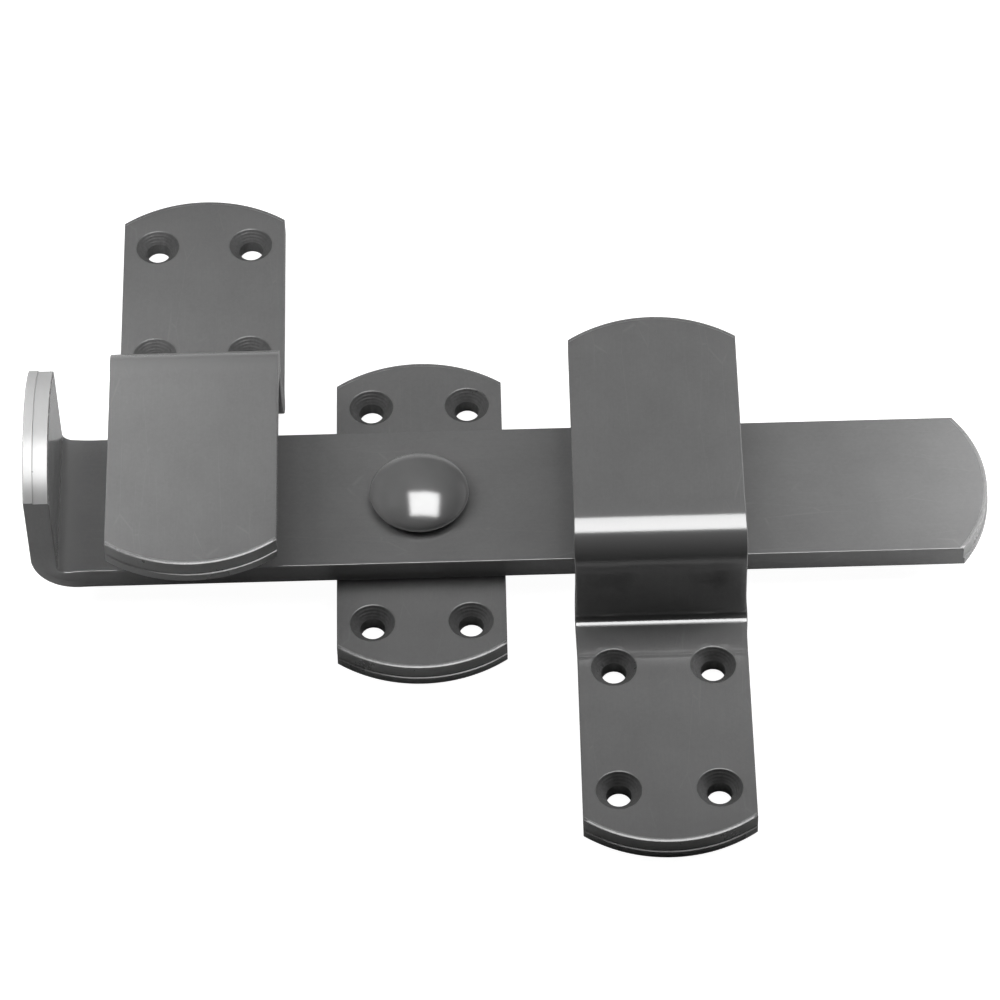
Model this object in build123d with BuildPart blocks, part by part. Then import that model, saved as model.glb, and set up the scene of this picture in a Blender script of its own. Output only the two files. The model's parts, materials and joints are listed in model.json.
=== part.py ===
from build123d import *

import math
import os

# A kick-over latch for a stable door, closed. A flat throw bar turns on one rivet, which a small plate
# holds against the door. Left and right of the plate, two keeps stand round the bar: each is a Z-shaped
# strip with a base plate, a web and a hook. The left hook reaches down over the bar (-Y), the right hook
# reaches up (+Y), so that the bar swings out of both at once when its bent-up tab is kicked down.
#
# The origin is on the rivet's axis, in the face of the door. +X runs along the closed bar away from the
# tab, +Y is up the door, +Z comes out of it. All sizes are in millimetres.

# The stock: every strip is cut from the same steel flat bar and bent round the same former.
stock_width = 40.0
stock_thickness = 6.0
bend_radius = 5.0
edge_round = 0.8

# The arcs that the strips' ends are cut to.
plate_end_radius = 34.0
bar_end_radius = 32.5

# The wood-screw holes, four in each plate. The rivet's tail sits in a countersink of the same angle.
screw_hole_diameter = 5.8
countersink_diameter = 10.4
countersink_angle = 90.0
screw_spread = 23.2

# The pivot plate. Its body length is measured between the corners where the end arcs start.
pivot_plate_body = 80.2
pivot_screw_inset = 7.4

# The rivet: shank, peened tail and domed head, whose rim flares out above its seat.
shank_diameter = 12.0
tail_depth = 2.5
head_diameter = 24.4
head_seat_diameter = 22.0
head_rim_height = 1.9
head_dome_height = 4.6

# The running fit between the bar and the rivet.
pivot_radial_clearance = 0.05
pivot_axial_play = 0.1

# The throw bar, from the rivet's axis to where its tip arc starts and to the tab's outer face, and the
# tab's straight height above the bar's underside.
bar_reach = 128.6
tab_reach = 91.6
tab_body_height = 32.5

# The keeps. The base and the hook are measured from the web's outer face to where their end arcs start,
# and the hook stands off the closed bar by the throat clearance.
keep_base_body = 57.7
keep_hook_body = 62.7
keep_web_lean = 2.0
keep_screw_inset = 8.6
keep_screw_pitch = 35.0
throat_clearance = 13.8

# Where the keeps stand: along the bar, and from the bar's edge to the web's foot.
left_keep_x = -53.0
left_web_gap = 11.0
right_keep_x = 56.3
right_web_gap = 7.4

# Heights above the door, from the back outwards.
bar_underside = stock_thickness + pivot_axial_play
bar_top = bar_underside + stock_thickness
head_seat = bar_top + pivot_axial_play
hook_underside = bar_top + throat_clearance
keep_height = hook_underside + stock_thickness

half_width = stock_width / 2
shank_radius = shank_diameter / 2
tail_radius = shank_radius + tail_depth * math.tan(math.radians(countersink_angle / 2))


def strip_outline(start, end, start_radius=None, end_radius=None):
    """A flat strip along X, with each end square or bulged out to an arc."""
    with BuildSketch() as outline:
        with BuildLine():
            Line((start, half_width), (end, half_width))
            if end_radius:
                RadiusArc((end, half_width), (end, -half_width), end_radius)
            else:
                Line((end, half_width), (end, -half_width))
            Line((end, -half_width), (start, -half_width))
            if start_radius:
                RadiusArc((start, -half_width), (start, half_width), start_radius)
            else:
                Line((start, -half_width), (start, half_width))
        make_face()
    return outline.sketch


def arc_rise(radius):
    """How far an end arc of this radius bulges past its corners."""
    return radius - math.sqrt(radius**2 - half_width**2)


def rim_edges(side_faces, end_faces):
    """The long edges and end edges of a strip, without the upright ones at its corners."""
    along_sides = side_faces.edges()
    across_ends = end_faces.edges()
    upright = [edge for edge in along_sides if edge in across_ends]
    return [edge for edge in along_sides + across_ends if edge not in upright]


def build_keep(keep_x, web_foot_y, hook_direction):
    """One keep. hook_direction is -1 for a hook that reaches towards -Y and 1 for +Y."""
    floor = Plane(origin=(keep_x, web_foot_y, 0), x_dir=(0, hook_direction, 0), z_dir=(0, 0, 1))
    side = Plane(origin=floor.origin, x_dir=floor.x_dir, z_dir=-floor.y_dir)
    base_tip = -keep_base_body - arc_rise(plate_end_radius)
    hook_corner = keep_web_lean + keep_hook_body
    hook_tip = hook_corner + arc_rise(plate_end_radius)
    row_middle = -keep_base_body + keep_screw_inset + keep_screw_pitch / 2

    with BuildPart() as keep:
        # The bent strip, seen from the side, as wide as the stock.
        with BuildSketch(side):
            with BuildLine():
                FilletPolyline(
                    (base_tip, stock_thickness),
                    (0, stock_thickness),
                    (keep_web_lean, keep_height),
                    (hook_tip, keep_height),
                    radius=[bend_radius, bend_radius + stock_thickness],
                )
                offset(amount=stock_thickness, side=Side.RIGHT)
            make_face()
        extrude(amount=half_width, both=True)

        # Both ends are cut to their arcs.
        with BuildSketch(floor):
            add(strip_outline(-keep_base_body, hook_corner, plate_end_radius, plate_end_radius))
        extrude(amount=keep_height, mode=Mode.INTERSECT)

        # The long edges and the end edges are eased.
        ends = keep.faces().sort_by(Axis.Y)
        fillet(rim_edges(keep.faces().filter_by(Axis.X), ends[:1] + ends[-1:]), edge_round)

        # Two rows of countersunk holes in the base plate.
        with Locations(floor.offset(stock_thickness)):
            with Locations((row_middle, 0)):
                with GridLocations(keep_screw_pitch, screw_spread, 2, 2):
                    CounterSinkHole(
                        radius=screw_hole_diameter / 2,
                        counter_sink_radius=countersink_diameter / 2,
                        depth=stock_thickness,
                        counter_sink_angle=countersink_angle,
                    )
    return keep


# ---- Pivot plate: the flat centre plate, with the rivet's hole countersunk from behind ----
with BuildPart() as pivot_plate:
    lengthwise = Plane(origin=(0, 0, 0), x_dir=(0, 1, 0), z_dir=(0, 0, 1))
    with BuildSketch(lengthwise):
        plate_corner = pivot_plate_body / 2
        add(strip_outline(-plate_corner, plate_corner, plate_end_radius, plate_end_radius))
    extrude(amount=stock_thickness)
    plate_ends = pivot_plate.faces().sort_by(Axis.Y)
    fillet(
        rim_edges(pivot_plate.faces().filter_by(Axis.X), plate_ends[:1] + plate_ends[-1:]),
        edge_round,
    )
    with Locations(Plane.XY.offset(stock_thickness)):
        with GridLocations(screw_spread, pivot_plate_body - 2 * pivot_screw_inset, 2, 2):
            CounterSinkHole(
                radius=screw_hole_diameter / 2,
                counter_sink_radius=countersink_diameter / 2,
                depth=stock_thickness,
                counter_sink_angle=countersink_angle,
            )
    with Locations(Plane(origin=(0, 0, 0), z_dir=(0, 0, -1))):
        CounterSinkHole(
            radius=shank_radius,
            counter_sink_radius=tail_radius,
            depth=stock_thickness,
            counter_sink_angle=countersink_angle,
        )

# ---- Pivot rivet: tail flush with the plate's back, shank, and domed head over the bar ----
head_rim = head_seat + head_rim_height
with BuildPart() as pivot_rivet:
    with BuildSketch(Plane.XZ):
        with BuildLine():
            Polyline(
                (0, head_rim + head_dome_height),
                (0, 0),
                (tail_radius, 0),
                (shank_radius, tail_depth),
                (shank_radius, head_seat),
                (head_seat_diameter / 2, head_seat),
                (head_diameter / 2, head_rim),
            )
            TangentArc(
                (0, head_rim + head_dome_height),
                (head_diameter / 2, head_rim),
                tangent=(1, 0),
            )
        make_face()
    revolve(axis=Axis.Z)

# ---- Throw bar: the flat bar with its bent-up kick tab, turning on the rivet's shank ----
with BuildPart() as throw_bar:
    bar_tip = bar_reach + arc_rise(bar_end_radius)
    tab_corner = bar_underside + tab_body_height
    tab_tip = tab_corner + arc_rise(bar_end_radius)
    with BuildSketch(Plane.XZ):
        with BuildLine():
            FilletPolyline(
                (-tab_reach, tab_tip),
                (-tab_reach, bar_underside),
                (bar_tip, bar_underside),
                radius=bend_radius + stock_thickness,
            )
            offset(amount=stock_thickness, side=Side.LEFT)
        make_face()
    extrude(amount=half_width, both=True)

    # The bar's tip and the tab's top are cut to their arcs.
    with BuildSketch(Plane.XY):
        add(strip_outline(-tab_reach, bar_reach, None, bar_end_radius))
    extrude(amount=tab_tip, mode=Mode.INTERSECT)
    upwards = Plane(origin=(-tab_reach, 0, 0), x_dir=(0, 0, 1), z_dir=(1, 0, 0))
    with BuildSketch(upwards):
        add(strip_outline(bar_underside, tab_corner, None, bar_end_radius))
    extrude(amount=tab_reach + bar_tip, mode=Mode.INTERSECT)

    tip_face = throw_bar.faces().sort_by(Axis.X)[-1:]
    tab_face = throw_bar.faces().sort_by(Axis.Z)[-1:]
    fillet(rim_edges(throw_bar.faces().filter_by(Axis.Y), tip_face + tab_face), edge_round)

    with Locations(Plane.XY.offset(bar_top)):
        Hole(radius=shank_radius + pivot_radial_clearance, depth=stock_thickness)

# ---- Keeps: the same piece twice, the right one turned round ----
left_keep = build_keep(left_keep_x, half_width + left_web_gap + stock_thickness, -1)
right_keep = build_keep(right_keep_x, -half_width - right_web_gap - stock_thickness, 1)

# ---- Writing the pieces ----
pieces = {
    "pivot_plate": pivot_plate,
    "pivot_rivet": pivot_rivet,
    "throw_bar": throw_bar,
    "left_keep": left_keep,
    "right_keep": right_keep,
}
os.makedirs("parts", exist_ok=True)
for piece_name, piece in pieces.items():
    piece.part.label = piece_name
    export_step(piece.part, f"parts/{piece_name}.step")
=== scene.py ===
# %% [markdown]
# # A kick-over stable latch
#
# The real latch is rolled flat steel bar that is cropped to length, punched, bent round a former and
# plated, with one rivet as its only joint. The engineering model already has every piece at its size
# and place. This lesson makes the pieces again with the traces of how they were made, rides each one
# on its body, and gives them a plated finish.

import json
import math

import bmesh
import bpy
import numpy as np
from mathutils import Matrix, Vector
from mathutils.geometry import delaunay_2d_cdt


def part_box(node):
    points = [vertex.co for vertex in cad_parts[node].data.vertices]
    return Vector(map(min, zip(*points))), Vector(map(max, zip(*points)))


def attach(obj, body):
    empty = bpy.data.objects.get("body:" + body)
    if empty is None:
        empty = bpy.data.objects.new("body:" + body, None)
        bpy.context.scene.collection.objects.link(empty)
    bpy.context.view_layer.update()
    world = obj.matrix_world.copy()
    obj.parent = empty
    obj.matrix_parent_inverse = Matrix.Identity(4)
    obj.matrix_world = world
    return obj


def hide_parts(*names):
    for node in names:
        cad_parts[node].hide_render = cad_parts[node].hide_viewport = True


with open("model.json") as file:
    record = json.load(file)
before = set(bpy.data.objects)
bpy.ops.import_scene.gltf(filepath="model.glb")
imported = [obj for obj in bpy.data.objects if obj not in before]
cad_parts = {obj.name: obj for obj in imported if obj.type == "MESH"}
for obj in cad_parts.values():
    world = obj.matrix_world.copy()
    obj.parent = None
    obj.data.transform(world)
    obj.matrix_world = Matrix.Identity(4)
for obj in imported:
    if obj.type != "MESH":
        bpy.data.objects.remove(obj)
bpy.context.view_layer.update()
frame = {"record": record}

# %% [markdown]
# ## Sizes
#
# What the frame can say is read from it: the stock's width and thickness from the flat pivot plate,
# the overall lengths from each node's box, the screw holes from the mounts. Only what a box can't
# show, such as a radius, is written down, at the step that needs it. Lengths are in metres.

# %% The stock
MM = 0.001

plate_low, plate_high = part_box("pivot_plate")
stock_width = plate_high.x - plate_low.x
stock_thickness = plate_high.z - plate_low.z
half_width = stock_width / 2
half_thickness = stock_thickness / 2
print("stock, mm:", round(stock_width / MM, 2), "x", round(stock_thickness / MM, 2))


# %% [markdown]
# ## The way the strips are made
#
# Four of the five pieces are strips of the same bar. A strip could be cut from a solid with booleans,
# but then nothing in the mesh knows which way the bar was rolled. Here a strip is made as in the
# forge: a flat blank with rounded ends and punched holes, which is then bent along a path. Each point
# remembers its place on the flat blank, so the rolling grain later follows the metal round its bends.

# %% A flat blank
# A point of a blank is (along, across, height): along the strip from its first corner line, across it
# from its middle, and height from its middle layer, with the front face at plus half the thickness.
class Blank:
    def __init__(self):
        self.points = []
        self.eased = []
        self.cuts = []
        self.bore = []
        self.faces = []
        self.cut_faces = []

    def add(self, along, across, height, eased=0.0, cut=None, bore=0.0):
        """Adds a point. eased is 1 in the middle of a rounded edge, cut names the cut it lies on."""
        self.points.append((along, across, height))
        self.eased.append(eased)
        self.cuts.append(cut)
        self.bore.append(bore)
        return len(self.points) - 1

    def add_face(self, corners, on_cut=0.0):
        self.faces.append(tuple(corners))
        self.cut_faces.append(on_cut)

    def join_rings(self, ring_a, ring_b):
        """Quads between two closed rings of as many points. A quad is cut metal if one cut made it."""
        count = len(ring_a)
        for i in range(count):
            j = (i + 1) % count
            corners = (ring_a[i], ring_a[j], ring_b[j], ring_b[i])
            made_by = {self.cuts[corner] for corner in corners}
            self.add_face(corners, 1.0 if len(made_by) == 1 and None not in made_by else 0.0)


print("a blank keeps, for each point:", [field for field in vars(Blank()) if "faces" not in field])


# %% [markdown]
# Rolled bar has eased long edges. A cropped end is different: the blade first drags the top edge over,
# then shears a smooth band, and the rest breaks away and leaves a small ledge. That ledge is the thin
# light line along the ends of the plates.

# %% The edge, level by level
rim_steps = 5
side_round = 0.3 * MM
end_roll = 1.0 * MM
ledge_height = -0.10 * stock_thickness
ledge_run = 0.14 * MM
ledge_depth = 0.28 * MM


def edge_levels():
    """From back to front: height, inset of the long sides, inset of the ends, and how eased."""
    quarter = [math.pi / 2 * step / rim_steps for step in range(rim_steps + 1)]
    back = [(1 - math.cos(angle), 1 - math.sin(angle), math.sin(2 * angle)) for angle in quarter]
    levels = [
        (side_round * rise - half_thickness, side_round * inset, side_round * inset, eased)
        for rise, inset, eased in back
    ]
    levels.append((ledge_height - ledge_run, 0.0, 0.0, 0.0))
    levels.append((ledge_height, 0.0, ledge_depth, 0.0))
    for rise, inset, eased in reversed(back):
        height = half_thickness - side_round * rise
        levels.append((height, side_round * inset, ledge_depth + end_roll * inset, eased))
    return levels


print("levels through the thickness:", len(edge_levels()))

# %% [markdown]
# Both ends of a blank are arcs, a little flatter than a half circle. All levels have the same number
# of points in their outline, so that neighbouring levels join with plain four-sided faces.

# %% The outline at one level
arc_steps = 36


def end_arc(radius, side_inset, end_inset):
    """An arc end as (beyond the corner line, across), from the right-hand side to the left."""
    centre = -math.sqrt(radius**2 - half_width**2)
    half = half_width - side_inset
    sweep = math.asin(half / (radius - end_inset))
    angles = np.linspace(-sweep, sweep, arc_steps + 1)
    reach = radius - end_inset
    return [(centre + reach * math.cos(angle), reach * math.sin(angle)) for angle in angles]


def outline_ring(blank, length, radius, stations, level):
    """One closed ring of points round the blank, with the places of its corners and stations."""
    height, side_inset, end_inset, eased = level
    half = half_width - side_inset
    arc = end_arc(radius, side_inset, end_inset)
    right = [blank.add(along, -half, height, eased) for along in stations]
    far = [blank.add(length + beyond, across, height, eased, "far") for beyond, across in arc]
    left = [blank.add(along, half, height, eased) for along in reversed(stations)]
    near = [blank.add(-beyond, -across, height, eased, "near") for beyond, across in arc]
    return {"right": right, "far": far, "left": left[::-1], "near": near}


def whole_ring(ring):
    return ring["right"] + ring["far"] + ring["left"][::-1] + ring["near"]


print("points on an end arc:", arc_steps + 1)


# %% [markdown]
# The flat faces are filled round their holes by a Delaunay triangulation, which leaves them exactly
# flat. Where the strip bends, the faces are a grid of rows and columns instead, so that the metal can
# swell a little at the sides of a bend.

# %% Faces of the blank
column_shares = (-0.94, -0.8, -0.5, 0.0, 0.5, 0.8, 0.94)
smallest_triangle = 1e-13
same_place = 1e-9


def fill_flat(blank, border, holes):
    """Triangles between a convex border and the rings of the holes inside it."""
    order = list(border) + [index for ring in holes for index in ring]
    places = [Vector(blank.points[index][:2]) for index in order]
    edges = []
    start = 0
    for ring in [border] + holes:
        count = len(ring)
        edges += [(start + i, start + (i + 1) % count) for i in range(count)]
        start += count
    made = delaunay_2d_cdt(places, edges, [], 0, same_place)
    made_places, made_faces, sources = made[0], made[2], made[3]
    middles = [np.mean([blank.points[i][:2] for i in ring], axis=0) for ring in holes]
    reaches = [math.dist(middle, blank.points[ring[0]][:2]) for middle, ring in zip(middles, holes)]
    for face in made_faces:
        corners = [made_places[i] for i in face]
        a, b, c = corners
        if abs((b - a).cross(c - a)) < smallest_triangle:
            continue
        heart = (a + b + c) / 3
        if any(math.dist(heart, middle) < reach for middle, reach in zip(middles, reaches)):
            continue
        blank.add_face([order[sources[i][0]] for i in face])


def fill_face(blank, ring, stations, holes):
    """One broad face of the blank: flat at both ends, a grid between the stations."""
    if not stations:
        fill_flat(blank, whole_ring(ring), holes)
        return
    height = blank.points[ring["right"][0]][2]
    half = abs(blank.points[ring["right"][0]][1])
    rows = []
    for index, along in enumerate(stations):
        columns = [blank.add(along, share * half, height) for share in column_shares]
        rows.append([ring["right"][index]] + columns + [ring["left"][index]])
    for row, following in zip(rows, rows[1:]):
        for i in range(len(row) - 1):
            blank.add_face((row[i], row[i + 1], following[i + 1], following[i]))
    nearer = [hole for hole in holes if blank.points[hole[0]][0] < stations[0]]
    farther = [hole for hole in holes if blank.points[hole[0]][0] > stations[-1]]
    fill_flat(blank, ring["near"] + rows[0], nearer)
    fill_flat(blank, rows[-1][::-1] + ring["far"], farther)


print("columns across a bend:", len(column_shares) + 2)

# %% [markdown]
# A screw hole is punched through and then countersunk. It could be cut out with a boolean, but rings
# of points from the front face to the back keep the mesh clean, and remember their own radius, from
# which the finish later draws the cutter's marks.

# %% Punched and countersunk holes
hole_steps = 44
hole_lip = 0.25 * MM
countersink_radius = 5.2 * MM

screw_patterns = {
    mount["name"]: mount
    for mount in frame["record"]["mounts"]
    if mount["kind"] == "bolt_pattern"
}
screw_radius = screw_patterns["pivot_plate_screws"]["dims"]["hole_r_mm"] * MM
countersink_depth = countersink_radius - screw_radius


def hole_rings(blank, along, across, profile):
    """Rings of one hole, from the front face to the back, for a profile of (radius, height)."""
    rings = []
    for radius, height in profile:
        ring = []
        for step in range(hole_steps):
            angle = 2 * math.pi * step / hole_steps
            place = (along + radius * math.cos(angle), across + radius * math.sin(angle))
            ring.append(blank.add(*place, height, 0.0, ("hole", along, across), radius))
        rings.append(ring)
    for ring, following in zip(rings, rings[1:]):
        blank.join_rings(ring, following)
    return rings[0], rings[-1]


screw_profile = [
    (countersink_radius + hole_lip, half_thickness),
    (countersink_radius, half_thickness - hole_lip / 2),
    (screw_radius + hole_lip / 2, half_thickness - countersink_depth),
    (screw_radius, half_thickness - countersink_depth - hole_lip),
    (screw_radius, -half_thickness + hole_lip),
    (screw_radius + hole_lip, -half_thickness),
]
print("screw hole radius and countersink depth, mm:", screw_radius / MM, round(countersink_depth / MM, 2))


# %% [markdown]
# ## Bending
#
# The path of a strip is a list of straight runs and bends of its middle layer. Plate this thick doesn't
# bend evenly: the press drives a sharper corner into the inside than the outside shows, so the metal is
# a little thinner there. At its sides it is squeezed out on the inside of the bend and drawn in on the
# outside, by a few tenths of a millimetre.

# %% The path of a bent strip
bend_radius = 5.0 * MM
pressed_radius = 2.4 * MM


def ahead(heading):
    """One step forward, in a heading."""
    return np.array([math.cos(heading), math.sin(heading)])


def upward(heading):
    """One step from the back of the strip towards its front, in a heading."""
    return np.array([-math.sin(heading), math.cos(heading)])


def arc_offset(radius, before, after):
    """From the start of an arc to where its heading has changed. A negative radius turns down."""
    return radius * np.array([math.sin(after) - math.sin(before), math.cos(before) - math.cos(after)])


def make_path(runs):
    """runs are (length, turn): a straight run has turn 0, a bend has its angle, up positive."""
    path = []
    along, place, heading = 0.0, np.array([0.0, half_thickness]), 0.0
    for length, turn in runs:
        curve = turn / length
        path.append({"start": along, "length": length, "place": place, "heading": heading, "curve": curve})
        if turn:
            place = place + arc_offset(1 / curve, heading, heading + turn)
        else:
            place = place + length * ahead(heading)
        heading += turn
        along += length
    return path


def pressed_in(run, distance):
    """How far the inside of a bend moves to the sharper corner that the press leaves there."""
    turn = abs(run["curve"]) * run["length"]
    tangent = (bend_radius - pressed_radius) * math.tan(turn / 2)
    sharp_length = 2 * tangent + pressed_radius * turn
    share = distance / run["length"]
    travelled = share * sharp_length
    if travelled < tangent:
        sharp = travelled * ahead(0.0)
    elif travelled < sharp_length - tangent:
        turned = (travelled - tangent) / pressed_radius
        sharp = tangent * ahead(0.0) + arc_offset(pressed_radius, 0.0, turned)
    else:
        corner = tangent * ahead(0.0) + arc_offset(pressed_radius, 0.0, turn)
        sharp = corner + (travelled - sharp_length + tangent) * ahead(turn)
    forward, sideways = sharp - arc_offset(bend_radius, 0.0, share * turn)
    bend_side = math.copysign(1.0, run["curve"])
    return forward * ahead(run["heading"]) + bend_side * sideways * upward(run["heading"])


def on_path(path, along, height):
    """Where a point of the blank goes: (forward, up) in the plane of the path."""
    run = path[0]
    for candidate in path[1:]:
        if along > candidate["start"]:
            run = candidate
    distance = along - run["start"]
    heading = run["heading"] + run["curve"] * distance
    if not run["curve"]:
        return run["place"] + distance * ahead(heading) + height * upward(heading)
    middle_layer = run["place"] + arc_offset(1 / run["curve"], run["heading"], heading)
    bend_side = math.copysign(1.0, run["curve"])
    inner_share = 0.5 + 0.5 * bend_side * height / half_thickness
    return middle_layer + height * upward(heading) + inner_share * pressed_in(run, distance)


print("inside of a bend, mm:", round(bend_radius / MM, 1), "pressed to", round(pressed_radius / MM, 1))

# %% The swelling beside a bend
swell_out = 0.35 * MM
draw_in = 0.28 * MM
swell_margin = 3.0 * MM
swell_sharpness = 6
bend_steps = 32
margin_rows = (0.33, 0.66, 1.0)


def bend_shape(path, along):
    """How far into a bend a place is, from 0 to 1, with the sign of the bend."""
    shape = 0.0
    for run in path:
        if run["curve"]:
            low = run["start"] - swell_margin
            high = run["start"] + run["length"] + swell_margin
            if low < along < high:
                share = (along - low) / (high - low)
                shape = math.copysign(math.sin(math.pi * share) ** 2, run["curve"])
    return shape


def swollen(path, along, across, height):
    """The place across the strip after the metal has moved sideways at a bend."""
    squeeze = bend_shape(path, along) * height / half_thickness
    share = (abs(across) / half_width) ** swell_sharpness
    move = swell_out * squeeze if squeeze > 0 else draw_in * squeeze
    return across + math.copysign(move * share, across)


def bend_stations(path):
    """Where the grid of a bent strip has its rows."""
    bends = [run for run in path if run["curve"]]
    if not bends:
        return []
    rows = [bends[0]["start"] - share * swell_margin for share in reversed(margin_rows)]
    for run in bends:
        end = run["start"] + run["length"]
        rows += list(np.linspace(run["start"], end, bend_steps + 1))
        rows += [end + share * swell_margin for share in margin_rows]
        if run is not bends[-1]:
            following = bends[-1]["start"]
            rows.append((end + following) / 2)
            rows += [following - share * swell_margin for share in reversed(margin_rows[:2])]
    return rows


print("swelling and drawing in at a bend, mm:", round(swell_out / MM, 2), round(draw_in / MM, 2))

# %% [markdown]
# The last step of making a strip puts the blank's points on the bent path and keeps, point by point or
# face by face, what the finish needs to know: the place on the flat blank, what is a rounded edge, a
# bend, a hole or a cut, and how far the former's mark is.

# %% From blank to piece
smooth_angle = math.radians(35)


def finish_mesh(name, places, faces):
    """A mesh object with even normals, smooth where its faces meet at a small angle."""
    mesh = bpy.data.meshes.new(name)
    mesh.from_pydata([tuple(place) for place in places], [], [list(face) for face in faces])
    mesh.validate()
    bm = bmesh.new()
    bm.from_mesh(mesh)
    bmesh.ops.recalc_face_normals(bm, faces=bm.faces)
    bm.to_mesh(mesh)
    bm.free()
    mesh.shade_smooth()
    mesh.set_sharp_from_angle(angle=smooth_angle)
    piece = bpy.data.objects.new(name, mesh)
    bpy.context.scene.collection.objects.link(piece)
    weighted = piece.modifiers.new("even_shading", "WEIGHTED_NORMAL")
    weighted.keep_sharp = True
    return piece


def store(mesh, name, values, domain="POINT"):
    """Keeps a number or a place for each point or face of a mesh, for the materials."""
    values = np.array(values, np.float32)
    kind, field = ("FLOAT_VECTOR", "vector") if values.ndim == 2 else ("FLOAT", "value")
    layer = mesh.attributes.new(name, kind, domain)
    layer.data.foreach_set(field, values.ravel())


def make_strip(name, radius, holes, path, place_in_frame, former_mark=None, dressed=None):
    """A punched and bent strip. holes are (along, across, profile). dressed names a ground end."""
    length = path[-1]["start"] + path[-1]["length"]
    stations = bend_stations(path)
    blank = Blank()
    rings = [outline_ring(blank, length, radius, stations, level) for level in edge_levels()]
    for ring, following in zip(rings, rings[1:]):
        blank.join_rings(whole_ring(ring), whole_ring(following))
    mouths = [hole_rings(blank, *hole) for hole in holes]
    fill_face(blank, rings[-1], stations, [front for front, back in mouths])
    fill_face(blank, rings[0], stations, [back for front, back in mouths])
    places = []
    bent = []
    for along, across, height in blank.points:
        forward, up = on_path(path, along, height)
        places.append(place_in_frame(forward, swollen(path, along, across, height), up))
        bent.append(bend_shape(path, along) * height / half_thickness)
    piece = finish_mesh(name, places, blank.faces)
    store(piece.data, "on_blank", blank.points)
    store(piece.data, "eased", blank.eased)
    store(piece.data, "bent", bent)
    store(piece.data, "bore", blank.bore)
    store(piece.data, "cut", blank.cut_faces, "FACE")
    ground = [
        1.0 if on_cut and blank.cuts[face[0]] == dressed else 0.0
        for face, on_cut in zip(blank.faces, blank.cut_faces)
    ]
    store(piece.data, "ground", ground, "FACE")
    if former_mark:
        store(piece.data, "from_mark", [along - former_mark for along, across, height in blank.points])
    print(name, "points", len(piece.data.vertices), "faces", len(piece.data.polygons))
    return piece


# %% [markdown]
# ## The pivot plate
#
# The only strip that stays flat. Its rivet hole is countersunk from behind, so that the rivet's peened
# tail ends flush and the plate sits flat on the door.

# %% Make the pivot plate
plate_end_radius = 34.0 * MM
shank_radius = 6.0 * MM
tail_depth = 2.5 * MM


def arc_rise(radius):
    """How far an end arc bulges past its corners."""
    return radius - math.sqrt(radius**2 - half_width**2)


plate_body = plate_high.y - plate_low.y - 2 * arc_rise(plate_end_radius)
rivet_profile = [
    (shank_radius, half_thickness),
    (shank_radius, -half_thickness + tail_depth),
    (shank_radius + tail_depth, -half_thickness),
]


def screw_places(pattern_name, low_along):
    """The four screws of a plate on its blank, from the pattern's middle and spacing."""
    dims = screw_patterns[pattern_name]["dims"]
    half_x = dims["spacing_x_mm"] * MM / 2
    half_y = dims["spacing_y_mm"] * MM / 2
    return [
        (low_along + sign_y * half_y, sign_x * half_x, screw_profile)
        for sign_y in (-1, 1)
        for sign_x in (-1, 1)
    ]


def place_plate(forward, across, up):
    return (across, forward - plate_body / 2, up)


pivot_plate = make_strip(
    "pivot_plate_strip",
    plate_end_radius,
    screw_places("pivot_plate_screws", plate_body / 2) + [(plate_body / 2, 0.0, rivet_profile)],
    make_path([(plate_body, 0.0)]),
    place_plate,
)

# %% [markdown]
# ## The keeps
#
# Both keeps are the same Z-shaped strip: base plate, web, hook. One stands with its hook down over the
# bar, the other is turned round. The web leans a little towards the hook, because the strip was bent
# just short of a right angle. Its base was clamped under the edge of a former, which left a faint line
# across the plate, a little way in front of the web.

# %% Make both keeps
former_reach = 10.8 * MM
keep_base_body = 57.7 * MM
keep_web_lean = 2.0 * MM

keep_low, keep_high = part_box("left_keep")
keep_height = keep_high.z - keep_low.z
keep_length = keep_high.y - keep_low.y
keep_hook_body = keep_length - keep_base_body - keep_web_lean - 2 * arc_rise(plate_end_radius)


def keep_path():
    """The middle layer of a keep: two bends, one each way, with the web between them."""
    rise = keep_height - stock_thickness
    turn = math.atan2(rise, keep_web_lean)
    inner = bend_radius * math.tan(turn / 2)
    outer = (bend_radius + stock_thickness) * math.tan(turn / 2)
    bend = (bend_radius + half_thickness) * turn
    return make_path(
        [
            (keep_base_body - inner, 0.0),
            (bend, turn),
            (math.hypot(rise, keep_web_lean) - inner - outer, 0.0),
            (bend, -turn),
            (keep_hook_body - outer, 0.0),
        ]
    )


def make_keep(name, node, screws, hook_direction):
    """A keep whose hook reaches towards -Y or +Y, with its base at the other end of its box."""
    low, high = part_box(node)
    middle_x = (low.x + high.x) / 2
    base_tip = high.y if hook_direction < 0 else low.y
    corner_y = base_tip + hook_direction * arc_rise(plate_end_radius)
    screws_along = abs(screw_patterns[screws]["pos_m"][1] - corner_y)

    def place_keep(forward, across, up):
        return (middle_x - hook_direction * across, corner_y + hook_direction * forward, up)

    places = screw_places(screws, screws_along)
    former_mark = keep_base_body - former_reach
    return make_strip(name, plate_end_radius, places, keep_path(), place_keep, former_mark)


left_keep = make_keep("left_keep_strip", "left_keep", "left_keep_screws", -1)
right_keep = make_keep("right_keep_strip", "right_keep", "right_keep_screws", 1)

# %% [markdown]
# ## The throw bar
#
# One long strip with its kick tab bent up square. Its blank starts at the tip, so the path runs
# towards -X and turns up into the tab. The tab is what a boot strikes, so its end was ground smooth
# after cropping, and shows brighter than the other ends.

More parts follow.
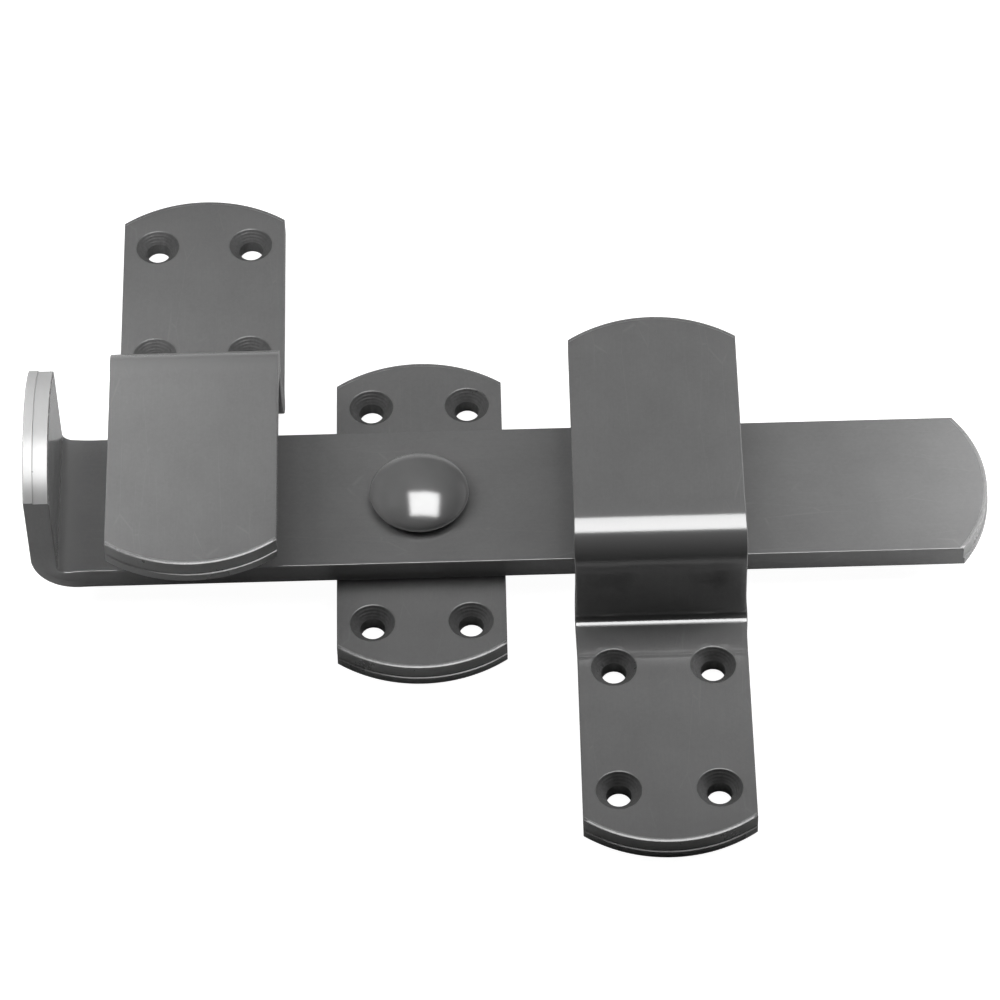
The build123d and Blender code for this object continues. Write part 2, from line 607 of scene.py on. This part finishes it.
# %% Make the throw bar
bar_end_radius = 32.5 * MM
bar_low, bar_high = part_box("throw_bar")
bar_clearance = 0.05 * MM
bar_hole_radius = shank_radius + bar_clearance
bar_hole_profile = [
    (bar_hole_radius + hole_lip, half_thickness),
    (bar_hole_radius, half_thickness - hole_lip),
    (bar_hole_radius, -half_thickness + hole_lip),
    (bar_hole_radius + hole_lip, -half_thickness),
]
bar_corner = bar_high.x - arc_rise(bar_end_radius)
tab_turn = math.pi / 2
tab_outer_radius = bend_radius + stock_thickness
tab_straight = bar_high.z - bar_low.z - arc_rise(bar_end_radius) - tab_outer_radius
bar_straight = bar_corner - (bar_low.x + tab_outer_radius)


def place_bar(forward, across, up):
    return (bar_corner - forward, across, bar_low.z + up)


throw_bar = make_strip(
    "throw_bar_strip",
    bar_end_radius,
    [(bar_corner, 0.0, bar_hole_profile)],
    make_path(
        [
            (bar_straight, 0.0),
            ((bend_radius + half_thickness) * tab_turn, tab_turn),
            (tab_straight, 0.0),
        ]
    ),
    place_bar,
    dressed="far",
)

# %% [markdown]
# ## The pivot rivet
#
# A rivet is turned round its own axis, so a profile of radius and height, swept round, is the natural
# way to make it. The head was closed with a few blows of a hammer and a dolly, so its dome isn't quite
# even, and neither is the tail, which was spread into its countersink at the back. Below the dome the
# head has a steep rim that turns in again towards its seat.

# %% Make the pivot rivet
rivet_low, rivet_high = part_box("pivot_rivet")
head_radius = rivet_high.x
head_rim_height = 1.9 * MM
head_play = 0.1 * MM
head_seat = bar_low.z + stock_thickness + head_play
head_rim = head_seat + head_rim_height
dome_height = rivet_high.z - head_rim
dome_radius = (head_radius**2 + dome_height**2) / (2 * dome_height)
hole_play = 0.02 * MM
turn_steps = 96
dome_rings = 22
dome_edge = 10.9 * MM
tail_edge = 0.05 * MM
shank_rings = 4
unevenness = 0.05 * MM
blows_round, blows_outwards = 3, 5

# The side of the head, from its seat up to the dome: mm in from the head's full radius, mm above the
# seat, and how eased.
head_side = (
    (1.9, 0.0, 0.0),
    (1.6, 0.1, 0.2),
    (1.0, 0.6, 0.0),
    (0.5, 1.1, 0.1),
    (0.3, 1.5, 0.4),
    (0.35, 1.9, 0.4),
    (0.6, 2.3, 0.2),
    (0.95, 2.65, 0.1),
)


def rivet_rings():
    """(radius, height, eased) from the middle of the tail, outwards and up, to the top of the dome."""
    tail_radius = shank_radius + tail_depth - hole_play
    shank = shank_radius - hole_play
    rings = [(tail_radius * share, 0.0, 0.0) for share in (0.2, 0.4, 0.6, 0.8, 0.95)]
    rings.append((tail_radius, tail_edge, 1.0))
    rings.append((shank, tail_depth, 0.0))
    rings += [(shank, height, 0.0) for height in np.linspace(tail_depth, head_seat, shank_rings)[1:]]
    rings += [(head_radius - back * MM, head_seat + rise * MM, eased) for back, rise, eased in head_side]
    sweep = math.asin(dome_edge / dome_radius)
    for angle in np.linspace(sweep, 0, dome_rings + 1)[:-1]:
        height = rivet_high.z - dome_radius * (1 - math.cos(angle))
        rings.append((dome_radius * math.sin(angle), height, 0.0))
    return rings


def hammered(radius, height, angle):
    """The height of a point after the blows: low facets on the dome, a shallow hollow in the tail."""
    around = math.sin(blows_round * angle + 0.7)
    off_centre = 1.9 * math.cos(angle + 0.4)
    outwards = math.sin(blows_outwards * radius / head_radius + off_centre)
    waves = around * outwards
    if height > head_rim:
        return height - unevenness * (0.5 + 0.5 * waves) * math.sin(math.pi * radius / head_radius)
    if height < tail_depth / 2 and radius < shank_radius:
        return height + unevenness * (1.1 + waves)
    return height


def make_rivet():
    rings = rivet_rings()
    places, spots, eased = [], [], []
    for radius, height, edge in rings:
        for step in range(turn_steps):
            angle = 2 * math.pi * step / turn_steps
            x, y = radius * math.cos(angle), radius * math.sin(angle)
            places.append((x, y, hammered(radius, height, angle)))
            spots.append((x, y, height))
            eased.append(edge)
    faces = []
    for ring in range(len(rings) - 1):
        for step in range(turn_steps):
            a, b = ring * turn_steps + step, ring * turn_steps + (step + 1) % turn_steps
            faces.append((a, b, b + turn_steps, a + turn_steps))
    for height, first in ((hammered(0.0, 0.0, 0.0), 0), (rivet_high.z, len(places) - turn_steps)):
        places.append((0.0, 0.0, height))
        spots.append((0.0, 0.0, height))
        eased.append(0.0)
        for step in range(turn_steps):
            faces.append((first + step, first + (step + 1) % turn_steps, len(places) - 1))
    piece = finish_mesh("pivot_rivet_turned", places, faces)
    store(piece.data, "on_blank", spots)
    store(piece.data, "eased", eased)
    print("rivet points", len(piece.data.vertices), "dome radius, mm", round(dome_radius / MM, 1))
    return piece


pivot_rivet = make_rivet()

# %% [markdown]
# ## Riding on the bodies
#
# Each new piece stands for one node of the engineering model. The bar turns on the rivet; everything
# else is screwed to the door or its frame and stays.

# %% Put the pieces on their bodies
pieces = {
    "pivot_plate": (pivot_plate, "mountings", "plated_steel"),
    "left_keep": (left_keep, "mountings", "plated_steel"),
    "right_keep": (right_keep, "mountings", "plated_steel"),
    "pivot_rivet": (pivot_rivet, "mountings", "rivet_steel"),
    "throw_bar": (throw_bar, "bar", "plated_steel"),
}
for node, (piece, body, slot) in pieces.items():
    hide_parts(node)
    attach(piece, body)
print("pieces on bodies:", {piece.name: body for piece, body, slot in pieces.values()})

# %% [markdown]
# ## Shader groups
#
# The finish is bright zinc plating over rolled steel. Each trace of making or use is a node group
# with named sockets, built once, and placed in a material with that material's own values: the grain
# that the rolls left, the cloudy look of the passivated zinc, the rubbing on edges, handling
# scratches, and the marks of cutting and bending.

# %% Helpers for groups
def new_group(name, inputs, outputs):
    """A shader group. inputs are {name: default}; a default of None makes a vector socket."""
    tree = bpy.data.node_groups.new(name, "ShaderNodeTree")
    for label, default in inputs.items():
        kind = "NodeSocketVector" if default is None else "NodeSocketFloat"
        socket = tree.interface.new_socket(label, in_out="INPUT", socket_type=kind)
        if default is not None:
            socket.default_value = default
    for label in outputs:
        tree.interface.new_socket(label, in_out="OUTPUT", socket_type="NodeSocketFloat")
    return tree, tree.nodes.new("NodeGroupInput"), tree.nodes.new("NodeGroupOutput")


def add_node(tree, kind, settings=None, values=None, links=None):
    """A node with its settings, the values of its sockets, and the outputs that feed its sockets."""
    node = tree.nodes.new(kind)
    for field, value in (settings or {}).items():
        setattr(node, field, value)
    for key, value in (values or {}).items():
        node.inputs[key].default_value = value
    for key, output in (links or {}).items():
        tree.links.new(output, node.inputs[key])
    return node


def math_node(tree, operation, first, second=None):
    """A Math node's output. first and second are outputs or plain numbers."""
    node = add_node(tree, "ShaderNodeMath", {"operation": operation})
    for index, value in enumerate((first, second)):
        if value is None:
            continue
        if isinstance(value, (int, float)):
            node.inputs[index].default_value = value
        else:
            tree.links.new(value, node.inputs[index])
    return node.outputs[0]


def stretched(tree, place, scale):
    """A place scaled differently along, across and through the strip."""
    node = add_node(tree, "ShaderNodeVectorMath", {"operation": "MULTIPLY"}, {1: scale}, {0: place})
    return node.outputs[0]


def noise(tree, place, scale, detail=3.0, roughness=0.5):
    """A Noise Texture's value for a place that is already stretched."""
    node = add_node(
        tree,
        "ShaderNodeTexNoise",
        {"noise_dimensions": "3D"},
        {"Scale": scale, "Detail": detail, "Roughness": roughness},
        {"Vector": place},
    )
    return node.outputs[0]


def ramp(tree, value, low, high, to_low=0.0, to_high=1.0):
    """Maps a value from one range to another, and clamps it."""
    node = add_node(
        tree,
        "ShaderNodeMapRange",
        {"clamp": True},
        {"From Min": low, "From Max": high, "To Min": to_low, "To Max": to_high},
        {"Value": value},
    )
    return node.outputs[0]


# %% [markdown]
# ### Rolled grain
#
# Long shallow streaks along the strip, and the fine pebble of pickled and plated steel. The streaks
# are noise that is stretched along the blank, so they bend with the metal.

# %% Rolled grain
def build_rolled_grain():
    tree, given, result = new_group(
        "rolled_grain", {"Place": None, "Streak Depth": 1e-6, "Pebble Depth": 1e-6}, ["Height", "Shade"]
    )
    place = given.outputs["Place"]
    fine = noise(tree, stretched(tree, place, (0.06, 1.0, 1.0)), 2600.0, 4.0, 0.6)
    broad = noise(tree, stretched(tree, place, (0.03, 1.0, 1.0)), 420.0, 3.0)
    pebble = noise(tree, place, 3300.0, 2.0)
    fine_part = math_node(tree, "MULTIPLY", fine, 0.6)
    broad_part = math_node(tree, "MULTIPLY", broad, 0.4)
    streaks = math_node(tree, "ADD", fine_part, broad_part)
    lines = math_node(tree, "MULTIPLY", streaks, given.outputs["Streak Depth"])
    bumps = math_node(tree, "MULTIPLY", pebble, given.outputs["Pebble Depth"])
    tree.links.new(math_node(tree, "ADD", lines, bumps), result.inputs["Height"])
    tree.links.new(ramp(tree, streaks, 0.32, 0.68), result.inputs["Shade"])
    return tree


# %% [markdown]
# ### Zinc cloud
#
# Soft patches where the bath left the zinc a little duller, with a fine spangle in them. Noise makes
# the patches, and the random colour of small Voronoi cells makes the spangle.

# %% Zinc cloud
def build_zinc_cloud():
    tree, given, result = new_group("zinc_cloud", {"Place": None, "Patch Scale": 60.0}, ["Cloud", "Spangle"])
    place = given.outputs["Place"]
    patches = add_node(
        tree,
        "ShaderNodeTexNoise",
        values={"Detail": 5.0, "Roughness": 0.55},
        links={"Vector": place, "Scale": given.outputs["Patch Scale"]},
    )
    tree.links.new(ramp(tree, patches.outputs[0], 0.3, 0.7), result.inputs["Cloud"])
    grains = add_node(tree, "ShaderNodeTexVoronoi", values={"Scale": 1500.0}, links={"Vector": place})
    cells = add_node(tree, "ShaderNodeSeparateXYZ", links={0: grains.outputs["Color"]})
    tree.links.new(cells.outputs[0], result.inputs["Spangle"])
    return tree


# %% [markdown]
# ### Rubbed edges
#
# Handling takes the dull skin off the edges first, in patches, and the lighter grey there is also a
# painted sheen along the rims of the rounded edges. The mesh knows where its edges are, so no trick
# with the shading angle is needed.

# %% Rubbed edges and painted sheen
def build_rubbed_edges():
    tree, given, result = new_group("rubbed_edges_and_sheen", {"Place": None, "Edge": 0.0, "Rubbing": 0.5}, ["Rubbed"])
    patches = ramp(tree, noise(tree, given.outputs["Place"], 350.0, 4.0, 0.6), 0.35, 0.65, 0.35, 1.0)
    strong = math_node(tree, "MULTIPLY", given.outputs["Edge"], given.outputs["Rubbing"])
    tree.links.new(math_node(tree, "MULTIPLY", strong, patches), result.inputs["Rubbed"])
    return tree


# %% [markdown]
# ### Handling scratches
#
# Thin short lines in two directions: the borders of long, thin, turned cells, shown only here and
# there.

# %% Handling scratches
def build_scratches():
    tree, given, result = new_group("handling_scratches", {"Place": None, "Amount": 0.3}, ["Scratch"])
    found = None
    for turn, scale, seed in ((0.5, 230.0, 0.0), (-0.9, 170.0, 3.1)):
        turned = add_node(
            tree,
            "ShaderNodeMapping",
            {"vector_type": "POINT"},
            {"Location": (seed, seed, 0.0), "Rotation": (0.0, 0.0, turn), "Scale": (0.12, 1.0, 0.3)},
            {"Vector": given.outputs["Place"]},
        )
        cells = add_node(
            tree,
            "ShaderNodeTexVoronoi",
            {"feature": "DISTANCE_TO_EDGE"},
            {"Scale": scale},
            {"Vector": turned.outputs[0]},
        )
        line = ramp(tree, cells.outputs["Distance"], 0.0, 0.012, 1.0, 0.0)
        gate = ramp(tree, noise(tree, turned.outputs[0], 160.0, 2.0), 0.55, 0.62)
        line = math_node(tree, "MULTIPLY", line, gate)
        found = line if found is None else math_node(tree, "MAXIMUM", found, line)
    tree.links.new(math_node(tree, "MULTIPLY", found, given.outputs["Amount"]), result.inputs["Scratch"])
    return tree


# %% [markdown]
# ### Torn metal, and painted shade in the holes
#
# On a cropped end the tear runs through the thickness. In a countersink the cutter chatters, and
# leaves rings. The tears are a little darker than the rolled faces. The countersinks are made much
# darker, as painted shade in their hollows.

# %% Torn metal, and painted shade in the holes
ring_pitch = 0.55 * MM
smallest_bore = 0.5 * MM


def build_torn_metal():
    tree, given, result = new_group(
        "torn_metal_and_hole_shade",
        {"Place": None, "Cut": 0.0, "Bore": 0.0, "Tear Depth": 1e-5, "Chatter Depth": 1e-5},
        ["Height", "Dark"],
    )
    place, cut, bore = given.outputs["Place"], given.outputs["Cut"], given.outputs["Bore"]
    in_hole = math_node(tree, "GREATER_THAN", bore, smallest_bore)
    tears = noise(tree, stretched(tree, place, (1.0, 1.0, 0.15)), 1300.0, 4.0, 0.6)
    rings = math_node(tree, "SINE", math_node(tree, "MULTIPLY", bore, 2 * math.pi / ring_pitch))
    rings = math_node(tree, "MULTIPLY", rings, noise(tree, place, 700.0, 3.0))
    rings = math_node(tree, "MULTIPLY", rings, in_hole)
    tear_height = math_node(tree, "MULTIPLY", tears, given.outputs["Tear Depth"])
    ring_height = math_node(tree, "MULTIPLY", rings, given.outputs["Chatter Depth"])
    height = math_node(tree, "MULTIPLY", math_node(tree, "ADD", tear_height, ring_height), cut)
    tree.links.new(height, result.inputs["Height"])
    # Countersinks get a much darker grey than cut ends: painted shade in their hollows.
    shade = math_node(tree, "ADD", math_node(tree, "MULTIPLY", in_hole, 0.55), 0.1)
    dark = math_node(tree, "MULTIPLY", shade, ramp(tree, tears, 0.3, 0.7, 0.7, 1.15))
    tree.links.new(math_node(tree, "MULTIPLY", dark, cut), result.inputs["Dark"])
    return tree


# %% [markdown]
# ### Former mark
#
# A shallow groove across the strip where the former's edge pressed, with the section of a bell.
# Distance is measured along the strip from the mark. A strip without a mark gives exactly 0 there,
# and gets no groove.

# %% Former mark
mark_width = 0.6 * MM
no_distance = 1e-9


def build_former_mark():
    tree, given, result = new_group("former_mark", {"Distance": 1.0, "Depth": 1e-5}, ["Height"])
    near = math_node(tree, "DIVIDE", given.outputs["Distance"], mark_width)
    square = math_node(tree, "MULTIPLY", near, near)
    bell = math_node(tree, "EXPONENT", math_node(tree, "MULTIPLY", square, -1.0))
    away = math_node(tree, "ABSOLUTE", given.outputs["Distance"])
    present = math_node(tree, "GREATER_THAN", away, no_distance)
    depth = math_node(tree, "MULTIPLY", given.outputs["Depth"], present)
    groove = math_node(tree, "MULTIPLY", bell, depth)
    tree.links.new(math_node(tree, "MULTIPLY", groove, -1.0), result.inputs["Height"])
    return tree


# %% Build the groups
groups = {
    "torn": build_torn_metal(),
    "mark": build_former_mark(),
    "grain": build_rolled_grain(),
    "cloud": build_zinc_cloud(),
    "edges": build_rubbed_edges(),
    "scratches": build_scratches(),
}
print("shader groups:", [tree.name for tree in groups.values()])

# %% [markdown]
# ## Materials
#
# Zinc plating under a clear passivation is part metal and part pale, cloudy skin. Half metallic with a
# low roughness gives both: soft even greys on the flats, and crisp bright lines where a rounded shape
# mirrors a lamp.

# %% Helpers for materials
def new_material(name):
    """A material with its Principled shader."""
    material = bpy.data.materials.new(name)
    material.use_nodes = True
    tree = material.node_tree
    return material, tree, tree.nodes["Principled BSDF"]


def add_group(tree, key, values=None, links=None):
    """One of the shared groups, with this material's own values."""
    return add_node(tree, "ShaderNodeGroup", {"node_tree": groups[key]}, values, links)


def attribute(tree, name, output):
    return add_node(tree, "ShaderNodeAttribute", {"attribute_name": name}).outputs[output]


def blend_grey(tree, amount, dark, light):
    """A grey between two greys."""
    node = add_node(tree, "ShaderNodeMix", {"data_type": "RGBA"}, links={"Factor": amount})
    for socket, shade in (("A", dark), ("B", light)):
        colour = [entry for entry in node.inputs if entry.name == socket and entry.type == "RGBA"][0]
        if isinstance(shade, (int, float)):
            colour.default_value = (shade, shade, shade, 1.0)
        else:
            tree.links.new(shade, colour)
    return [entry for entry in node.outputs if entry.type == "RGBA"][0]


def plated_look(tree, shader, height, shade, roughness):
    """Joins a finish's height, shade and roughness to its shader, as zinc under a clear passivation."""
    depth = {"Strength": 1.0, "Distance": 1.0}
    bump = add_node(tree, "ShaderNodeBump", values=depth, links={"Height": height})
    tree.links.new(bump.outputs[0], shader.inputs["Normal"])
    tree.links.new(shade, shader.inputs["Base Color"])
    tree.links.new(roughness, shader.inputs["Roughness"])


# %% [markdown]
# ### Plated strip
#
# The strips' finish. Cut ends and countersinks were plated with the rest, but the blade and the punch
# left them rougher. The cut ends are a little darker, and the countersinks are much darker, as painted
# shade in their hollows. The bends were burnished by the press, which makes them more metallic, and
# the end of the kick tab was ground bare of its tears. The layers go on in the order that the metal
# got them, each as a grey laid over the last one.

# %% Plated strip
strip_metallic, pressed_metallic = 0.5, 0.62
clear_zinc, cloudy_zinc = 0.265, 0.29
streak_grey, streak_share = 0.235, 0.35
spangle_grey, spangle_share = 0.38, 0.12
pressed_grey = 0.40
# Rounded edges are lighter: rubbed wear, and a painted sheen along the rims.
rubbed_grey = 0.42
scratch_grey, scratch_depth = 0.37, 8e-6
# The grey of the torn ends, and of the painted shade in the countersinks.
torn_grey = 0.11
ground_grey, ground_share = 0.52, 0.7
clear_roughness, cloudy_roughness = 0.15, 0.17
rubbed_smoother = 0.03
cut_rougher = 0.12


def make_strip_finish():
    material, tree, shader = new_material("plated_strip")
    place = attribute(tree, "on_blank", "Vector")
    cut = attribute(tree, "cut", "Fac")
    grain = add_group(tree, "grain", {"Streak Depth": 9e-6, "Pebble Depth": 7e-6}, {"Place": place})
    cloud = add_group(tree, "cloud", {"Patch Scale": 90.0}, {"Place": place})
    edge = {"Place": place, "Edge": attribute(tree, "eased", "Fac")}
    edges = add_group(tree, "edges", {"Rubbing": 0.6}, edge)
    scratches = add_group(tree, "scratches", {"Amount": 0.35}, {"Place": place})
    cuts = {"Place": place, "Cut": cut, "Bore": attribute(tree, "bore", "Fac")}
    torn = add_group(tree, "torn", {"Tear Depth": 1.2e-5, "Chatter Depth": 3e-5}, cuts)
    from_mark = {"Distance": attribute(tree, "from_mark", "Fac")}
    mark = add_group(tree, "mark", {"Depth": 5e-5}, from_mark)

    height = math_node(tree, "ADD", grain.outputs["Height"], torn.outputs["Height"])
    height = math_node(tree, "ADD", height, mark.outputs["Height"])
    scratched = math_node(tree, "MULTIPLY", scratches.outputs["Scratch"], scratch_depth)
    height = math_node(tree, "SUBTRACT", height, scratched)

    streaks = math_node(tree, "MULTIPLY", grain.outputs["Shade"], streak_share)
    spangles = math_node(tree, "MULTIPLY", cloud.outputs["Spangle"], spangle_share)
    ground = math_node(tree, "MULTIPLY", attribute(tree, "ground", "Fac"), ground_share)
    zinc = blend_grey(tree, cloud.outputs["Cloud"], clear_zinc, cloudy_zinc)
    zinc = blend_grey(tree, streaks, zinc, streak_grey)
    zinc = blend_grey(tree, spangles, zinc, spangle_grey)
    pressed = math_node(tree, "ABSOLUTE", attribute(tree, "bent", "Fac"))
    zinc = blend_grey(tree, pressed, zinc, pressed_grey)
    # The lighter rounded edges are rubbed wear and also a painted sheen along the rims.
    zinc = blend_grey(tree, edges.outputs["Rubbed"], zinc, rubbed_grey)
    zinc = blend_grey(tree, scratches.outputs["Scratch"], zinc, scratch_grey)
    # Torn ends go a little darker. The countersinks go much darker, as painted shade in the holes.
    zinc = blend_grey(tree, torn.outputs["Dark"], zinc, torn_grey)
    zinc = blend_grey(tree, ground, zinc, ground_grey)

    rough = ramp(tree, cloud.outputs["Cloud"], 0.0, 1.0, clear_roughness, cloudy_roughness)
    smoother = math_node(tree, "MULTIPLY", edges.outputs["Rubbed"], rubbed_smoother)
    rough = math_node(tree, "SUBTRACT", rough, smoother)
    rough = math_node(tree, "ADD", rough, math_node(tree, "MULTIPLY", cut, cut_rougher))
    plated_look(tree, shader, height, zinc, rough)
    metallic = ramp(tree, pressed, 0.0, 1.0, strip_metallic, pressed_metallic)
    tree.links.new(metallic, shader.inputs["Metallic"])
    return material


strip_finish = make_strip_finish()
for piece in (pivot_plate, left_keep, right_keep, throw_bar):
    piece.data.materials.append(strip_finish)
print("strip finish:", strip_finish.name, len(strip_finish.node_tree.nodes), "nodes")

# %% [markdown]
# ### Plated rivet
#
# The same zinc, on metal that was upset instead of rolled: no grain in one direction, and the whole
# head a little brighter and more metallic, because the hammer burnished it.

# %% Plated rivet
rivet_metallic = 0.65
clear_head, cloudy_head = 0.365, 0.395
head_roughness = (0.14, 0.16)
# The rivet's rounded edges are lighter: rubbed wear, and a painted sheen.
rubbed_head = 0.48


def make_rivet_finish():
    material, tree, shader = new_material("plated_rivet")
    place = attribute(tree, "on_blank", "Vector")
    grain = add_group(tree, "grain", {"Streak Depth": 0.0, "Pebble Depth": 9e-6}, {"Place": place})
    cloud = add_group(tree, "cloud", {"Patch Scale": 140.0}, {"Place": place})
    edge = {"Place": place, "Edge": attribute(tree, "eased", "Fac")}
    edges = add_group(tree, "edges", {"Rubbing": 0.7}, edge)
    zinc = blend_grey(tree, cloud.outputs["Cloud"], clear_head, cloudy_head)
    # Rubbed wear and a painted sheen on the rivet's rounded edges.
    zinc = blend_grey(tree, edges.outputs["Rubbed"], zinc, rubbed_head)
    rough = ramp(tree, cloud.outputs["Cloud"], 0.0, 1.0, *head_roughness)
    plated_look(tree, shader, grain.outputs["Height"], zinc, rough)
    shader.inputs["Metallic"].default_value = rivet_metallic
    return material


rivet_finish = make_rivet_finish()
pivot_rivet.data.materials.append(rivet_finish)
print("rivet finish:", rivet_finish.name, len(rivet_finish.node_tree.nodes), "nodes")

# %% [markdown]
# ## Floor
#
# A plain pale plane just under the latch. The camera sees it evenly bright, as a paper sweep that is
# lit from below, while the metal mirrors only its middling grey. That keeps the near faces dark.

# %% Floor
floor_size = 3.0
floor_gap = 0.05 * MM
floor_grey = (0.34, 0.37)
paper_white = 0.97


def make_floor():
    mesh = bpy.data.meshes.new("floor")
    half = floor_size / 2
    corners = [(-half, -half), (half, -half), (half, half), (-half, half)]
    mesh.from_pydata([(x, y, -floor_gap) for x, y in corners], [], [(0, 1, 2, 3)])
    floor = bpy.data.objects.new("floor", mesh)
    bpy.context.scene.collection.objects.link(floor)
    material, tree, shader = new_material("pale_floor")
    mottling = noise(tree, add_node(tree, "ShaderNodeTexCoord").outputs["Object"], 12.0, 3.0)
    tree.links.new(blend_grey(tree, mottling, *floor_grey), shader.inputs["Base Color"])
    shader.inputs["Roughness"].default_value = 0.9
    shader.inputs["Specular IOR Level"].default_value = 0.1
    rays = add_node(tree, "ShaderNodeLightPath")
    tree.links.new(rays.outputs["Is Camera Ray"], shader.inputs["Emission Strength"])
    shader.inputs["Emission Color"].default_value = (paper_white, paper_white, paper_white, 1.0)
    mesh.materials.append(material)
    return floor


floor = make_floor()
print("floor side, m:", floor_size)

# %% [markdown]
# ## Light
#
# One large soft box overhead is there only for what mirrors it: the patch on the dome and the bright
# lines along the bends. It gives no soft light of its own. That comes from three boxes on the far
# side, which the metal doesn't mirror, and which leave the webs and the near edges dark. Three small
# lamps close by make the left keep, the end of the kick tab and the tip of the bar brighter.

# %% Light
def soft_box(name, place, target, size, strength):
    """A soft box that the camera doesn't see, aimed at a point. strength is in watts."""
    light = bpy.data.lights.new(name, "AREA")
    light.shape = "RECTANGLE"
    light.size, light.size_y = size
    light.energy = strength
    lamp = bpy.data.objects.new(name, light)
    away = (Vector(place) - Vector(target)).normalized()
    across = Vector((0.0, 1.0, 0.0)).cross(away).normalized()
    axes = Matrix((across, away.cross(across), away)).transposed()
    lamp.matrix_world = Matrix.Translation(place) @ axes.to_4x4()
    lamp.visible_camera = False
    bpy.context.scene.collection.objects.link(lamp)
    return lamp


middle = (0.0, 0.0, 0.0)
far_size = (0.35, 0.35)
lamp_size = (0.06, 0.06)
overhead = soft_box("overhead_box", (0.11, -0.045, 1.0), middle, (0.76, 0.66), 5.2)
overhead.visible_diffuse = False

side_boxes = [
    soft_box("far_box", (0.0, 0.30, 0.52), middle, far_size, 1.38),
    soft_box("far_right_box", (0.26, 0.15, 0.52), middle, far_size, 0.98),
    soft_box("far_left_box", (-0.26, 0.15, 0.52), middle, far_size, 0.36),
    soft_box("left_lamp", (-0.125, 0.0, 0.075), (-0.05, 0.0, 0.02), lamp_size, 0.056),
    soft_box("left_top_lamp", (-0.10, 0.02, 0.12), (-0.06, 0.0, 0.02), lamp_size, 0.072),
    soft_box("right_lamp", (0.185, 0.0, 0.06), (0.11, 0.0, 0.012), lamp_size, 0.16),
]
for lamp in side_boxes:
    lamp.visible_glossy = False

dim_grey = 0.01
world = bpy.data.worlds.new("studio")
world.use_nodes = True
world.node_tree.nodes["Background"].inputs["Color"].default_value = (dim_grey, dim_grey, dim_grey, 1.0)
bpy.context.scene.world = world
bpy.context.scene.view_settings.view_transform = "Standard"
print("lights:", [entry.name for entry in bpy.data.lights])

# %% [markdown]
# ## Camera
#
# A long lens from the near side, a little more than halfway up, looks down on the latch with almost no
# perspective. It is turned by a degree and a half, so that the bar rises slightly to the right.

# %% Camera
camera_elevation = math.radians(51.76)
camera_azimuth = math.radians(0.15)
camera_roll = math.radians(-1.63)
camera_distance = 1.2653
camera_lens = 189.05
sensor_width = 36.0
camera_target = Vector((0.0191, 0.0078, 0.0))

level = math.cos(camera_elevation)
back = Vector(
    (math.sin(camera_azimuth) * level, -math.cos(camera_azimuth) * level, math.sin(camera_elevation))
)
right = Vector((math.cos(camera_azimuth), math.sin(camera_azimuth), 0.0))
up = back.cross(right)
turned_right = math.cos(camera_roll) * right + math.sin(camera_roll) * up
turned_up = math.cos(camera_roll) * up - math.sin(camera_roll) * right

camera_data = bpy.data.cameras.new("camera")
camera_data.lens = camera_lens
camera_data.sensor_width = sensor_width
camera = bpy.data.objects.new("camera", camera_data)
axes = Matrix((turned_right, turned_up, back)).transposed()
camera.matrix_world = Matrix.Translation(camera_target + camera_distance * back) @ axes.to_4x4()
bpy.context.scene.collection.objects.link(camera)
bpy.context.scene.camera = camera
print("camera at, m:", [round(value, 4) for value in camera.location])
